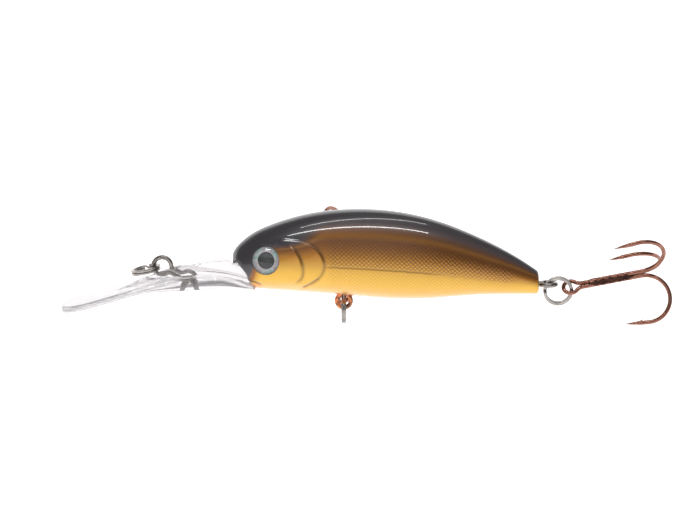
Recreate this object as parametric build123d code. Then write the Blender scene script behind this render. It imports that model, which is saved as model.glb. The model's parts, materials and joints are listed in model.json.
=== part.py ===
from build123d import *
import math
import os

# A deep-diving crankbait: a hollow two-shell body with a clear diving lip, two treble hooks on split rings
# and a split ring on the line tie. Millimetres, +X from the nose to the tail, +Z up, the left flank at -Y.
# The origin is the centre of the line-tie eye.

# Body: outer form and wall
nose_x = 12.5
body_length = 54.5
back_height = 10.3
belly_depth = 6.05
body_half_width = 5.9
widest_level = 0.4
wall = 1.2
# One row for each station: share of the body length, then the back's height, the belly's depth and the
# half width there, each as a share of its greatest value.
stations = (
    (0.0, 0.165, 0.600, 0.30),
    (0.03, 0.430, 0.625, 0.47),
    (0.08, 0.620, 0.660, 0.68),
    (0.14, 0.755, 0.700, 0.83),
    (0.22, 0.885, 0.752, 0.94),
    (0.32, 0.975, 0.820, 0.995),
    (0.42, 1.000, 0.900, 1.00),
    (0.52, 0.965, 0.975, 0.955),
    (0.62, 0.865, 0.975, 0.860),
    (0.71, 0.715, 0.910, 0.735),
    (0.81, 0.490, 0.860, 0.565),
    (0.89, 0.275, 0.845, 0.425),
    (0.95, 0.085, 0.845, 0.325),
    (1.0, -0.095, 0.845, 0.25),
)
# Front of the head, from the snout down to the chin: distance behind the nose, then height
face_line = ((0.0, 1.75), (1.2, 0.3), (2.3, -1.1), (3.0, -2.6), (3.7, -3.7))

# Eyes: a printed foil disc under a clear dome, in a round seat
eye_behind_nose = 6.05
eye_height = 1.9
eye_diameter = 5.0
eye_seat_depth = 0.95
eye_seat_clearance = 0.05
eye_yaw = 13.0
eye_pitch = 9.0
foil_thickness = 0.25
dome_edge = 0.5
dome_rise = 0.75

# Diving lip
lip_reach = 18.1
lip_tip_height = -7.0
lip_slope = 16.0
lip_thickness = 1.1
lip_half_width = 6.0
lip_tip_radius = 5.4
neck_half_width = 2.8
neck_floor = -3.75
lip_arch_start = -1.5
lip_arch_middle = (8.0, 1.0)
neck_thickness = 0.6
# Outline of the plate's side seen from above: x, then the share of the way from the neck's half width to
# the plate's
lip_flank = ((-3.0, 0.87), (6.0, 0.5))
lip_spine_half_width = 1.45
lip_spine_foot_x = -8.0
lip_spine_root = 0.3
# Upper edge of the spine in front of the head: x and height
lip_spine_edge = ((-1.7, -1.4), (0.0, -0.8), (2.1, -0.1), (5.8, 0.7), (10.0, 1.35))
lip_spine_top = 1.65
tang_start = 0.5
tang_length = 6.0
tang_thickness = 2.2
tang_height = -0.9
tang_hole = 1.5
tang_hole_from_end = 1.9
tang_clearance = 0.05

# Formed wires
hanger_wire = 0.8
wire_pocket_clearance = 0.04
wire_shoulder = 0.64
line_tie_radius = 1.6
line_tie_anchor_radius = 1.4
line_tie_anchor_x = 4.6
line_tie_anchor_z = -2.35
belly_eye_behind_nose = 19.8
belly_eye_drop = 1.15
belly_eye_radius = 1.25
belly_anchor_radius = 1.3
belly_anchor_rise = 3.3
tail_eye_radius = 1.35
tail_eye_behind_tail = 1.75
tail_eye_height = -3.27
tail_anchor_radius = 1.1
tail_anchor_ahead = 4.4
strand_gap = 0.08
strand_half_gap = (hanger_wire + strand_gap) / 2

# Split rings: two flat coils with one step between them
ring_outer_radius = 2.67
ring_wire_width = 0.62
ring_coil_thickness = 0.41
ring_coil_gap = 0.04
ring_step_angle = 20.0
ring_corner = 0.14

# Treble hooks: one double hook with the eye, one single hook, joined by braze
hook_wire = 0.75
shank_gap = 0.1
hook_eye_radius = 1.3
hook_eye_shoulder = 1.7
shank_length = 14.0
bend_radius = 4.2
bend_angle = 186.0
point_length = 4.2
point_taper = 2.7
point_tip_radius = 0.04
single_shank_start = 5.0
braze_start = 5.4
braze_end = 12.0
braze_radius = 0.66
barb_from_tip = 3.3
barb_length = 1.1
barb_height = 0.32
barb_thickness = 0.3
barb_root = 0.1

# How each ring and treble hangs: angles in degrees, and the play left between a ring and the wire in it
line_tie_ring_angle = 12.0
line_tie_ring_play = 0.25
tail_ring_angle = 70.0
tail_ring_play = 0.27
tail_ring_roll = 6.0
tail_treble_contact = -25.0
tail_treble_play = 0.625
tail_treble_lift = 11.0
tail_single_angle = 50.0
belly_ring_angle = 68.0
belly_ring_play = 0.35
belly_treble_contact = 147.0
belly_treble_play = 0.375
belly_treble_direction = (0.106, 0.824, 0.556)
belly_single_direction = (-0.548, -0.418, 0.725)

# Weights
ballast_diameter = 4.76
ballast_clearance = 0.04
front_ballast_behind_nose = 13.9
front_ballast_height = -0.75
rear_ballast_behind_nose = 27.0
rear_ballast_height = -1.95
rattle_diameter = 3.97
rattle_clearance = 0.15
rattle_travel = 6.0
rattle_front_behind_nose = 32.5
rattle_height = 0.4
rattle_slope = 6.0
rattle_gap = 0.02

# Ribs between the air chambers: faces behind the nose, and the plastic left over and under the weights
front_chamber_start = 10.2
hanger_rib_ahead = 1.6
hanger_rib_behind = 1.4
ballast_rib_end = 30.0
rattle_chamber_start = 32.0
rattle_chamber_spare = 2.0
ballast_cover = 0.57
channel_roof = 1.3
channel_bed = 0.7

# Locating pins on the left shell, in sockets of the right one: distance behind the nose and height
pin_radius = 0.6
pin_reach = 1.2
pin_root = 0.5
pin_clearance = 0.05
pins = ((8.7, 4.6), (19.8, 3.4), (46.6, -0.6))

tail_x = nose_x + body_length
chin_x = nose_x + face_line[-1][0]
left, right = -1, 1
on_base = (Align.CENTER, Align.CENTER, Align.MIN)


# ---- Body form ---------------------------------------------------------------------------------------------

def levels(share, inset=0.0):
    """Back height, belly height and half width at a share of the body length, drawn in by an inset."""
    for (a, *low), (b, *high) in zip(stations, stations[1:]):
        if a <= share <= b:
            part = (share - a) / (b - a)
            back, belly, half = (p + part * (q - p) for p, q in zip(low, high))
    return back * back_height - inset, inset - belly * belly_depth, half * body_half_width - inset


def body_form(inset, first, last):
    """The body's form as a loft of sections, each two half ellipses that meet at the widest level."""
    sections = []
    for share, *_ in stations:
        if first <= share <= last:
            back, belly, half = levels(share, inset)
            middle = belly + widest_level * (back - belly)
            plane = Plane((nose_x + share * body_length, 0, middle), x_dir=(0, 1, 0), z_dir=(1, 0, 0))
            upper = EllipticalCenterArc((0, 0), half, back - middle, 0, arc_size=180)
            lower = EllipticalCenterArc((0, 0), half, middle - belly, 180, arc_size=180)
            sections.append(plane * make_face([upper, lower]))
    return loft(sections)


def flank_y(x, z):
    """Distance of the flank from the middle plane at a place on the side."""
    back, belly, half = levels((x - nose_x) / body_length)
    middle = belly + widest_level * (back - belly)
    reach = back - middle if z > middle else middle - belly
    return half * math.sqrt(1 - ((z - middle) / reach) ** 2)


def across(sketch, half_width):
    """A side-view sketch, given as x and z, made a solid that reaches as far on both sides."""
    return extrude(Plane.XZ * sketch, half_width, both=True)


def outer_body():
    """The whole outer form, with the front cut to the line of the face."""
    face = [(nose_x + x, z) for x, z in face_line]
    depth = 2 * belly_depth
    corner = [(face[-1][0], -depth), (nose_x - 1, -depth), (nose_x - 1, face[0][1])]
    front = across(make_face(Polyline(*face, *corner, close=True)), body_half_width + 1)
    return body_form(0, 0, 1) - front


# ---- Formed wire, split rings and hooks --------------------------------------------------------------------

def bent_wire(path, diameter):
    """A round wire along a path."""
    return sweep(Plane(path @ 0, z_dir=path % 0) * Circle(diameter / 2), path=path)


def wire_eye(radius, half_gap, shoulder, leg, diameter):
    """A round eye whose end wire is at the origin, closing into two parallel legs that run along +X."""
    rise = half_gap + shoulder
    start = radius + math.sqrt((radius + shoulder) ** 2 - rise**2)
    meet = math.degrees(math.atan2(rise, start - radius))
    path = Wire([
        Line((leg, half_gap), (start, half_gap)),
        CenterArc((start, rise), shoulder, -90, meet - 90),
        CenterArc((radius, 0), radius, meet, 360 - 2 * meet),
        CenterArc((start, -rise), shoulder, 180 - meet, meet - 90),
        Line((start, -half_gap), (leg, -half_gap)),
    ])
    return bent_wire(path, diameter)


def double_eye(end_a, end_b, radius_a, radius_b, normal, diameter):
    """A flat figure-8 wire with its eyes' end wires at two points, both eyes in one plane."""
    along = (Vector(*end_b) - Vector(*end_a)).normalized()
    length = (Vector(*end_b) - Vector(*end_a)).length
    leg = length * radius_a / (radius_a + radius_b)
    eye_a = wire_eye(radius_a, strand_half_gap, wire_shoulder, leg, diameter)
    eye_b = wire_eye(radius_b, strand_half_gap, wire_shoulder, length - leg, diameter)
    return Plane(end_a, x_dir=along, z_dir=normal) * eye_a + Plane(end_b, x_dir=-along, z_dir=normal) * eye_b


def rod(start, end, diameter):
    """A round rod between two points."""
    run = Vector(*end) - Vector(*start)
    return Plane(start, z_dir=run) * Cylinder(diameter / 2, run.length, align=on_base)


def capsule(start, end, diameter):
    """A rod with round ends."""
    return rod(start, end, diameter) + ball(start, diameter) + ball(end, diameter)


def ball(centre, diameter):
    """A ball at a place."""
    return Pos(*centre) * Sphere(diameter / 2)


def split_ring():
    """A split ring in its own frame, axis along Z, with its step on +X."""
    middle = ring_outer_radius - ring_wire_width / 2
    layer = (ring_coil_thickness + ring_coil_gap) / 2

    def section(angle, height):
        radial = Vector(math.cos(math.radians(angle)), math.sin(math.radians(angle)), 0)
        around = Vector(0, 0, 1).cross(radial)
        plane = Plane(radial * middle + Vector(0, 0, height), x_dir=radial, z_dir=around)
        return plane * RectangleRounded(ring_wire_width, ring_coil_thickness, ring_corner)

    half_step = ring_step_angle / 2
    turn = 360 - ring_step_angle
    lower = revolve(section(half_step, -layer), Axis.Z, turn)
    upper = revolve(section(half_step, layer), Axis.Z, turn)
    step = loft([section(-half_step, -layer), section(half_step, layer)], ruled=True)
    return lower + step + upper


shank_offset = (hook_wire + shank_gap) / math.sqrt(3)
bundle_axis = shank_offset / 2


def hook(angle, start):
    """One shank, bend, point and barb, from a place on the shank, at an angle round the bundle from +Z."""
    outward = Vector(0, math.sin(math.radians(angle)), math.cos(math.radians(angle)))
    plane = Plane((0, 0, bundle_axis), x_dir=(1, 0, 0), z_dir=Vector(1, 0, 0).cross(outward))
    heading = math.radians(bend_angle)
    forward = Vector(math.cos(heading), math.sin(heading))
    inward = Vector(-forward.Y, forward.X)
    centre = Vector(shank_length, shank_offset + bend_radius)
    bend_end = centre - inward * bend_radius
    taper_start = bend_end + forward * (point_length - point_taper)
    wire = bent_wire(Wire([
        Line((start, shank_offset), (shank_length, shank_offset)),
        CenterArc((centre.X, centre.Y), bend_radius, -90, bend_angle),
        Line((bend_end.X, bend_end.Y), (taper_start.X, taper_start.Y)),
    ]), hook_wire)
    cone = Cone(hook_wire / 2, point_tip_radius, point_taper, align=on_base)
    tip = Plane(taper_start, z_dir=forward) * cone
    low = bend_end + forward * (point_length - barb_from_tip) + inward * barb_root
    peak = low + inward * (hook_wire / 2 - barb_root + barb_height)
    toe = low + forward * barb_length
    barb = make_face(Polyline((low.X, low.Y), (peak.X, peak.Y), (toe.X, toe.Y), close=True))
    return plane * (wire + tip + extrude(barb, barb_thickness / 2, both=True))


def treble():
    """The three pieces of a treble hook, with the eye's end wire at the origin and the shank along +X."""
    half_gap = shank_offset * math.sin(math.radians(60))
    eye = wire_eye(hook_eye_radius, half_gap, hook_eye_shoulder, single_shank_start, hook_wire)
    double = eye + hook(120, single_shank_start) + hook(-120, single_shank_start)
    single_end = (single_shank_start, 0, bundle_axis + shank_offset)
    single = hook(0, single_shank_start) + ball(single_end, hook_wire)
    shanks = PolarLocations(shank_offset, 3) * Circle(hook_wire / 2)
    section = Plane((braze_start, 0, bundle_axis), x_dir=(0, 0, 1), z_dir=(1, 0, 0))
    braze = extrude(section * (Circle(braze_radius) - shanks), braze_end - braze_start)
    return double, single, braze


# ---- Placement helpers -------------------------------------------------------------------------------------

def toward(angle):
    """A direction in the side view, at an angle up from the tail direction."""
    return Vector(math.cos(math.radians(angle)), 0, math.sin(math.radians(angle)))


def hang(wire, play):
    """Distance from the middle of a wire to the centre of the split ring that hangs on it."""
    return ring_outer_radius - ring_wire_width - wire / 2 - play


# ---- Wires held by the lip and the shells ------------------------------------------------------------------

line_tie_anchor = Vector(line_tie_anchor_x, 0, line_tie_anchor_z)
line_tie_end = line_tie_anchor.normalized() * -line_tie_radius
line_tie_anchor_end = line_tie_anchor + line_tie_anchor.normalized() * line_tie_anchor_radius
line_tie_wire = double_eye(
    line_tie_end, line_tie_anchor_end, line_tie_radius, line_tie_anchor_radius, (0, 1, 0), hanger_wire
)

belly_x = nose_x + belly_eye_behind_nose
belly_surface = levels(belly_eye_behind_nose / body_length)[1]
belly_eye_z = belly_surface - belly_eye_drop
belly_eye_bottom = Vector(belly_x, 0, belly_eye_z - belly_eye_radius)
belly_anchor_top = Vector(belly_x, 0, belly_eye_z + belly_anchor_rise + belly_anchor_radius)


def belly_wire(diameter):
    """The belly hanger: a figure-8 that stands upright in the middle plane."""
    return double_eye(
        belly_eye_bottom, belly_anchor_top, belly_eye_radius, belly_anchor_radius, (0, 1, 0), diameter
    )


tail_eye_end = Vector(tail_x + tail_eye_behind_tail + tail_eye_radius, 0, tail_eye_height)
tail_anchor_end = Vector(tail_x - tail_anchor_ahead - tail_anchor_radius, 0, tail_eye_height)


def tail_wire(diameter):
    """The tail hanger: a figure-8 that lies level across the parting plane."""
    return double_eye(
        tail_eye_end, tail_anchor_end, tail_eye_radius, tail_anchor_radius, (0, 0, 1), diameter
    )


# ---- Diving lip --------------------------------------------------------------------------------------------

lip_rise = math.tan(math.radians(lip_slope))
lip_drop = lip_thickness / math.cos(math.radians(lip_slope))


def lip_side():
    """Side view of the plate and neck: a slanted plate that runs into a neck with a level floor."""
    plate_top = lip_tip_height + (lip_arch_start + lip_reach) * lip_rise
    middle_x, middle_rise = lip_arch_middle
    neck_top = neck_floor + neck_thickness
    floor_start = -lip_reach + (neck_floor - lip_tip_height + lip_drop) / lip_rise
    top = Line((-lip_reach, lip_tip_height), (lip_arch_start, plate_top))
    arch = ThreePointArc((lip_arch_start, plate_top), (middle_x, plate_top + middle_rise), (chin_x, neck_top))
    rest = Polyline(
        (chin_x, neck_top), (chin_x, neck_floor), (floor_start, neck_floor),
        (-lip_reach, lip_tip_height - lip_drop), (-lip_reach, lip_tip_height),
    )
    return make_face([top, arch, *rest.edges()])


def lip_plan():
    """Top view of the lip: a round tip, a broad plate and a neck that narrows to the head."""
    shoulder_x = lip_tip_radius - lip_reach
    bulge = math.sin(math.radians(45))
    tip = ThreePointArc(
        (-lip_reach, 0),
        (shoulder_x - lip_tip_radius * bulge, lip_half_width * bulge),
        (shoulder_x, lip_half_width),
    )
    spread = lip_half_width - neck_half_width
    flank = [(x, neck_half_width + share * spread) for x, share in lip_flank]
    side = Spline(
        [(shoulder_x, lip_half_width), *flank, (chin_x, neck_half_width)], tangents=[(1, 0), (1, -0.05)]
    )
    close = Polyline((chin_x, neck_half_width), (chin_x, 0), (-lip_reach, 0))
    half = make_face([tip, side, *close.edges()])
    return half + mirror(half, Plane.XZ)


def lip_spine():
    """Side view of the spine that carries the line tie and runs up into the snout."""
    foot_z = lip_tip_height + (lip_spine_foot_x + lip_reach) * lip_rise - lip_spine_root
    floor_x = lip_spine_edge[0][0]
    return make_face(Polyline(
        (lip_spine_foot_x, foot_z), *lip_spine_edge, (nose_x + 1, lip_spine_top),
        (nose_x + 2.5, neck_floor), (floor_x, neck_floor), close=True,
    ))


def tang(grow):
    """The tang behind the spine, which the head's pocket takes."""
    length = tang_length + grow
    side = Pos(nose_x + tang_start + length / 2, tang_height) * Rectangle(length, tang_thickness + 2 * grow)
    return across(side, lip_spine_half_width + grow)


def tang_pin(diameter):
    """A pin across the tang, through its hole."""
    x = nose_x + tang_start + tang_length - tang_hole_from_end
    half = 2 * lip_spine_half_width
    return rod((x, -half, tang_height), (x, half, tang_height), diameter)


def diving_lip(body):
    """The whole lip: plate, neck, spine and tang in one moulding, with the line-tie wire's seat."""
    plate = across(lip_side(), lip_half_width + 1) & extrude(lip_plan(), lip_reach, both=True)
    lip = plate + across(lip_spine(), lip_spine_half_width) - body + tang(0)
    return lip - tang_pin(tang_hole) - line_tie_wire


# ---- Weights -----------------------------------------------------------------------------------------------

front_ballast_at = (nose_x + front_ballast_behind_nose, 0, front_ballast_height)
rear_ballast_at = (nose_x + rear_ballast_behind_nose, 0, rear_ballast_height)
rattle_run = toward(rattle_slope)
front_rattle_at = Vector(nose_x + rattle_front_behind_nose, 0, rattle_height)
rear_rattle_at = front_rattle_at + rattle_run * (rattle_diameter + rattle_gap)


# ---- Shells ------------------------------------------------------------------------------------------------

def eye_plane(side, depth):
    """The plane of an eye's seat, at a depth under the flank, facing outwards."""
    x = nose_x + eye_behind_nose
    yaw, pitch = math.radians(eye_yaw), math.radians(eye_pitch)
    level = math.cos(pitch)
    outward = Vector(-math.sin(yaw) * level, side * math.cos(yaw) * level, math.sin(pitch))
    surface = Vector(x, side * flank_y(x, eye_height), eye_height)
    return Plane(surface - outward * depth, z_dir=outward)


def eye_seat(side):
    """The round seat that an eye is glued into."""
    radius = eye_diameter / 2 + eye_seat_clearance
    return eye_plane(side, eye_seat_depth) * Cylinder(radius, body_half_width, align=on_base)


def chambers():
    """The air chambers between the ribs: start and end behind the nose, then floor and ceiling."""
    channel_radius = rattle_diameter / 2 + rattle_clearance
    rear_end = rattle_front_behind_nose + rattle_diameter + rattle_travel + rattle_chamber_spare
    over_front = front_ballast_height + ballast_diameter / 2 + ballast_cover
    over_rear = rear_ballast_height + ballast_diameter / 2 + ballast_cover
    bounds = (
        (front_chamber_start, belly_eye_behind_nose - hanger_rib_ahead, over_front, back_height),
        (belly_eye_behind_nose + hanger_rib_behind, ballast_rib_end, over_rear, back_height),
        (rattle_chamber_start, rear_end, rattle_height + channel_radius + channel_roof, back_height),
        (rattle_chamber_start, rear_end, -belly_depth, rattle_height - channel_radius - channel_bed),
    )
    inside = body_form(wall, 0.05, 0.96)
    boxes = []
    for start, end, floor, ceiling in bounds:
        middle = (nose_x + (start + end) / 2, (floor + ceiling) / 2)
        boxes.append(across(Pos(*middle) * Rectangle(end - start, ceiling - floor), body_half_width))
    return [inside & box for box in boxes]


def pockets():
    """Everything that is cut out of both shells: chambers, ball seats, channel, wire and tang pockets."""
    pocket_wire = hanger_wire + 2 * wire_pocket_clearance
    channel = capsule(
        front_rattle_at, rear_rattle_at + rattle_run * rattle_travel, rattle_diameter + 2 * rattle_clearance
    )
    seats = [ball(at, ballast_diameter + 2 * ballast_clearance) for at in (front_ballast_at, rear_ballast_at)]
    return [
        *chambers(), *seats, channel, tang(tang_clearance) - tang_pin(tang_hole - 2 * tang_clearance),
        belly_wire(pocket_wire), tail_wire(pocket_wire), eye_seat(left), eye_seat(right),
    ]


def shells(body):
    """The two moulded halves of the body, with pins on the left one and sockets in the right one."""
    size = 2 * body_length
    halves = []
    hollow = body
    for cut in pockets():
        hollow -= cut
    for side in (left, right):
        halves.append(hollow & Pos(nose_x + body_length / 2, side * size / 2, 0) * Box(size, size, size))
    left_half, right_half = halves
    for behind, height in pins:
        x = nose_x + behind
        end = pin_reach + pin_clearance
        left_half += rod((x, -pin_root, height), (x, pin_reach, height), 2 * pin_radius)
        right_half -= rod((x, 0, height), (x, end, height), 2 * (pin_radius + pin_clearance))
    return left_half, right_half


def eye_dome():
    """The clear dome over an eye's foil: a short straight edge under a round cap, standing on Z = 0."""
    radius = eye_diameter / 2
    rim = math.cos(math.radians(45)) * radius
    cap_radius = (radius**2 + dome_rise**2) / (2 * dome_rise)
    top = dome_edge + dome_rise
    middle = (rim, top - cap_radius + math.sqrt(cap_radius**2 - rim**2))
    edge = Polyline((0, top), (0, 0), (radius, 0), (radius, dome_edge))
    cap = ThreePointArc((radius, dome_edge), middle, (0, top))
    return revolve(Plane.XZ * make_face([*edge.edges(), cap]), Axis.Z)


# ---- Assembly ----------------------------------------------------------------------------------------------

body = outer_body()
left_shell, right_shell = shells(body)
nodes = {
    "left_shell": left_shell,
    "right_shell": right_shell,
    "diving_lip": diving_lip(body),
    "line_tie_wire": line_tie_wire,
    "belly_hanger_wire": belly_wire(hanger_wire),
    "tail_hanger_wire": tail_wire(hanger_wire),
    "front_ballast_ball": ball(front_ballast_at, ballast_diameter),
    "rear_ballast_ball": ball(rear_ballast_at, ballast_diameter),
    "front_rattle_ball": ball(front_rattle_at, rattle_diameter),
    "rear_rattle_ball": ball(rear_rattle_at, rattle_diameter),
}

for name, side in (("left", left), ("right", right)):
    foil = Cylinder(eye_diameter / 2, foil_thickness, align=on_base)
    nodes[f"{name}_eye_foil"] = eye_plane(side, eye_seat_depth) * foil
    nodes[f"{name}_eye_dome"] = eye_plane(side, eye_seat_depth - foil_thickness) * eye_dome()

# Line-tie ring: its plane holds Y and the line from the eye to the ring's centre.
line_tie_run = toward(180 + line_tie_ring_angle)
line_tie_ring_centre = line_tie_run * (line_tie_radius + hang(hanger_wire, line_tie_ring_play))
line_tie_ring_axis = line_tie_run.cross(Vector(0, 1, 0))
line_tie_frame = Plane(line_tie_ring_centre, x_dir=(0, 1, 0), z_dir=line_tie_ring_axis)
nodes["line_tie_split_ring"] = line_tie_frame * split_ring()

# Tail ring: it hangs from the tail eye's rear wire, its top leaning a little to the left.
roll = math.radians(tail_ring_roll)
tail_ring_axis = Vector(0, math.cos(roll), math.sin(roll))


def round_tail_ring(angle):
    """A direction in the tail ring's plane, at an angle up from the tail direction."""
    up = Vector(0, -math.sin(roll), math.cos(roll))
    return Vector(1, 0, 0) * math.cos(math.radians(angle)) + up * math.sin(math.radians(angle))


tail_ring_centre = tail_eye_end + round_tail_ring(-tail_ring_angle) * hang(hanger_wire, tail_ring_play)
nodes["tail_split_ring"] = Plane(tail_ring_centre, x_dir=(-1, 0, 0), z_dir=tail_ring_axis) * split_ring()


def round_belly_ring(angle):
    """A direction in the belly ring's plane, at an angle from straight down towards the right flank."""
    return Vector(0, math.sin(math.radians(angle)), -math.cos(math.radians(angle)))


# Belly ring: it hangs across the body from the belly eye's lowest wire, swung to the right.
belly_ring_centre = belly_eye_bottom + round_belly_ring(belly_ring_angle) * hang(hanger_wire, belly_ring_play)
nodes["belly_split_ring"] = Plane(belly_ring_centre, x_dir=(0, 0, -1), z_dir=(1, 0, 0)) * split_ring()

# Trebles: their eyes hang in the rings.
tail_treble_at = tail_ring_centre + round_tail_ring(tail_treble_contact) * hang(hook_wire, tail_treble_play)
tail_shank = toward(tail_treble_lift)
tail_up = Vector(0, -1, 0).cross(tail_shank)
single = math.radians(tail_single_angle)
tail_single = Vector(0, -1, 0) * math.cos(single) + tail_up * math.sin(single)
belly_treble_hang = hang(hook_wire, belly_treble_play)
belly_treble_at = belly_ring_centre + round_belly_ring(belly_treble_contact) * belly_treble_hang
placed = (
    ("tail", tail_treble_at, tail_shank, tail_single),
    ("belly", belly_treble_at, Vector(*belly_treble_direction), Vector(*belly_single_direction)),
)
for name, at, shank, upward in placed:
    frame = Plane(at, x_dir=shank, z_dir=upward)
    for piece, shape in zip(("double", "single", "braze"), treble()):
        nodes[f"{name}_treble_{piece}"] = frame * shape

os.makedirs("parts", exist_ok=True)
for name, shape in nodes.items():
    solids = shape.solids()
    export_step(solids[0] if len(solids) == 1 else Compound(solids), f"parts/{name}.step")
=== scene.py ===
import json
import math

import bmesh
import bpy
import numpy as np
from bpy.props import FloatProperty, FloatVectorProperty, PointerProperty
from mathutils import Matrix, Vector


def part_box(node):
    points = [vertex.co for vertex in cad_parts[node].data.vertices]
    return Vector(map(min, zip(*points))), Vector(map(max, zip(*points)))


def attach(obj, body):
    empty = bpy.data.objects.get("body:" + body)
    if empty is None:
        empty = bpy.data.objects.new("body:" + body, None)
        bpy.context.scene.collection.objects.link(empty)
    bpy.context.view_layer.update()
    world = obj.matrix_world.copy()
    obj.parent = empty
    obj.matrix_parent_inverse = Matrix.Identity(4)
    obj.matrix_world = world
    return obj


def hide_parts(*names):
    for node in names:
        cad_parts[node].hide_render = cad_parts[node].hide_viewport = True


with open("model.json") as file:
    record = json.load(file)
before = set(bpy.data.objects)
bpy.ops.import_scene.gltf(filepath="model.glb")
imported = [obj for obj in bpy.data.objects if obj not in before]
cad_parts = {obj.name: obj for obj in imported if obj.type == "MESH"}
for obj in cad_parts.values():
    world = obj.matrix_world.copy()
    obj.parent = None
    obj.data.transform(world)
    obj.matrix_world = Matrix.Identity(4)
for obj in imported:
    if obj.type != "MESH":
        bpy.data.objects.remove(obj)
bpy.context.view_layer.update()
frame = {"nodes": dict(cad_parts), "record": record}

bl_info = {
    "name": "Crankbait Lure",
    "version": (1, 0, 0),
    "blender": (4, 5, 0),
    "location": "3D View > Sidebar > Lure",
    "description": "Builds the shells, eyes, diving lip, wires, rings and treble hooks of a crankbait",
    "category": "Object",
}

# Metres, +X from the nose to the tail, +Z up, the left flank at -Y, origin at the centre of the line-tie eye.
MM = 0.001
JOINTS = {joint["name"]: joint for joint in frame["record"]["behaviour"]["joints"]}
MOUNTS = {mount["name"]: mount for mount in frame["record"]["mounts"]}
SHELL_LOW, SHELL_HIGH = (np.array(corner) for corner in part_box("left_shell"))
NOSE_X, TAIL_X = SHELL_LOW[0], SHELL_HIGH[0]
BODY_LENGTH = TAIL_X - NOSE_X
BACK_HEIGHT = SHELL_HIGH[2]
BELLY_DEPTH = -SHELL_LOW[2]
HALF_WIDTH = -SHELL_LOW[1]

# Body stations: share of the body length, then the back's height, the belly's depth and the half width there,
# each as a share of its greatest value.
STATIONS = (
    (0.0, 0.165, 0.600, 0.30),
    (0.03, 0.430, 0.625, 0.47),
    (0.08, 0.620, 0.660, 0.68),
    (0.14, 0.755, 0.700, 0.83),
    (0.22, 0.885, 0.752, 0.94),
    (0.32, 0.975, 0.820, 0.995),
    (0.42, 1.000, 0.900, 1.00),
    (0.52, 0.965, 0.970, 0.955),
    (0.62, 0.865, 0.975, 0.860),
    (0.71, 0.715, 0.925, 0.735),
    (0.81, 0.490, 0.862, 0.565),
    (0.89, 0.275, 0.845, 0.425),
    (0.95, 0.085, 0.845, 0.325),
    (1.0, -0.095, 0.845, 0.25),
)
WIDEST_LEVEL = 0.4
# Front of the head: height, then how far the face stands behind the nose there
FACE_LINE = ((-3.7, 3.7), (-2.6, 3.0), (-1.1, 2.3), (0.3, 1.2), (1.75, 0.0))
# Lateral line: x and height
LATERAL_LINE = (
    (12.5, 0.9), (20, 1.25), (29.2, 1.1), (37.9, 0.6), (45, 0.0), (51, -0.8), (57, -1.9), (66.9, -3.1),
)
# Rear edges of the cheek plate and of the gill cover: height and x
CHEEK_EDGE = ((-2.6, 22.8), (-1.2, 24.5), (0.25, 25.0), (1.85, 24.8), (3.6, 23.9), (5.0, 22.6))
GILL_EDGE = ((-3.2, 24.6), (-1.5, 27.1), (0.05, 28.4), (2.05, 28.7), (3.5, 28.0), (4.8, 26.2), (5.9, 23.6))
# Short creases as pairs of ends, x and height: the fin's edge under the gill and the corner of the mouth
CREASES = (((28.3, -0.9), (24.9, -3.2)), ((15.0, -1.75), (17.9, -2.75)))

# Roundings of the shell's front and rear edges, and how far back the face's slant is felt
NOSE_ROUND, NOSE_POWER, TAIL_ROUND = 1.5 * MM, 2.6, 0.45 * MM
SLANT_SHARE = 0.25
# Plates of the head: the length of their rise, the step at their edge, and the shadow behind it
PLATE_RISE, PLATE_STEP, PLATE_FADE = 1.6 * MM, 0.3 * MM, 1.2 * MM
SHADOW_BEHIND, SHADOW_WIDTH = 0.22 * MM, 0.28 * MM
CREASE_WIDTH, CREASE_FADE, CREASE_DEPTH = 0.24 * MM, 0.5 * MM, 0.16 * MM
# The scales and the lateral line begin behind the gill; the line fades out towards the tail
SCALES_START, SCALES_FADE_IN, SCALES_FADE_OUT = 28.5 * MM, 2 * MM, 4 * MM
LINE_WIDTH, LINE_DEPTH, LINE_END, LINE_FADE = 0.13 * MM, 0.06 * MM, 62 * MM, 20 * MM
SEAT_CLEARANCE, SEAT_BAND = 0.05 * MM, 0.13 * MM
# Rows and columns of the shells' grids
NOSE_ROWS, FLANK_ROWS, TAIL_ROWS, SHELL_COLUMNS = 26, 350, 8, 118
# Colours from the belly, -1, by the lateral line, 0, to the back, 1. Besides the paint's own gold and brown
# they hold painted reflection: brighter towards the belly for the bright floor below, a dark band near 0.5 for
# the darker room above, and a lighter stop at 0.6 that is partly a painted highlight streak of the clear coat
FLANK_COLOURS = (
    (-1.0, "#f0a45c"), (-0.86, "#efb456"), (-0.5, "#e6b13e"), (-0.22, "#d9a737"), (0.0, "#cb9730"),
    (0.12, "#c58a26"), (0.24, "#b0741e"), (0.38, "#925a18"), (0.5, "#7d4a16"), (0.6, "#94601f"),
)
SHOULDER_LEVEL, UPPER_BACK, BACK_LEVEL, SPINE_TONE = 0.68, (0.79, "#4b3c3c"), 0.88, "#312c32"
# How metallic the paint is over the same levels
METAL_LEVELS = ((-1.0, 0.15), (-0.7, 0.55), (-0.2, 0.8), (0.45, 0.8), (0.72, 0.35), (0.85, 0.0))


# ---- Numbers and colours ----

def paint(code):
    """An sRGB hex colour as linear red, green, blue and full alpha."""
    levels = np.array([int(code[i:i + 2], 16) for i in (1, 3, 5)]) / 255
    linear = np.where(levels <= 0.04045, levels / 12.92, ((levels + 0.055) / 1.055) ** 2.4)
    return (*linear, 1.0)


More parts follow.
